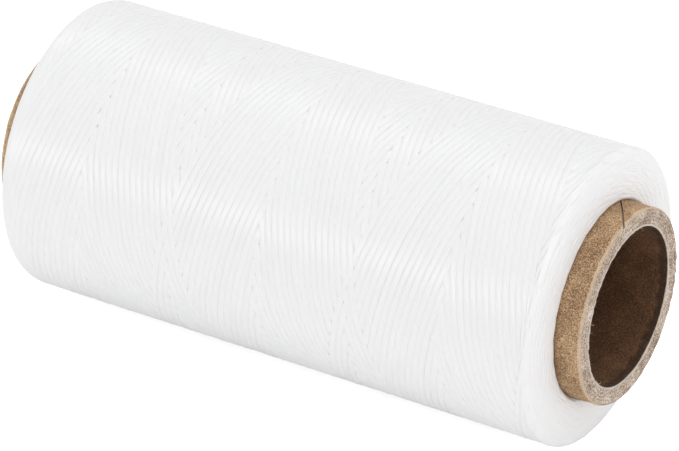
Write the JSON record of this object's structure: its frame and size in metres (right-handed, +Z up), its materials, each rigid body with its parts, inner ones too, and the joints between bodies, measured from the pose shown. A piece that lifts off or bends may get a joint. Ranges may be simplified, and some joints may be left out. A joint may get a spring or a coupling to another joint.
{
  "type": "waxed thread spool",
  "caption": "Waxed sewing thread cross-wound on a plain paper tube, lying on its side, with the tube's ends standing out of the pack.",
  "frame": {"origin": "on the axis of the bore, at the middle of the paper tube", "axes": "+X along the bore towards the tube end with the open seam on top, +Z up as the spool lies on its side, +Y completes the right-handed frame"},
  "size_m": [0.1048, 0.0474, 0.0474],
  "materials": {
    "kraft_paper": "matte",
    "liner_paper": "matte",
    "grey_board": "matte",
    "waxed_thread": "satin"
  },
  "bodies": {
    "root": {"tube_inner_liner": "liner_paper", "tube_board_ply_1": "grey_board", "tube_board_ply_2": "grey_board", "tube_board_ply_3": "grey_board", "tube_board_ply_4": "grey_board", "tube_outer_kraft_ply": "kraft_paper", "thread_inner_layers": "waxed_thread", "thread_outer_winding": "waxed_thread"}
  },
  "joints": []
}
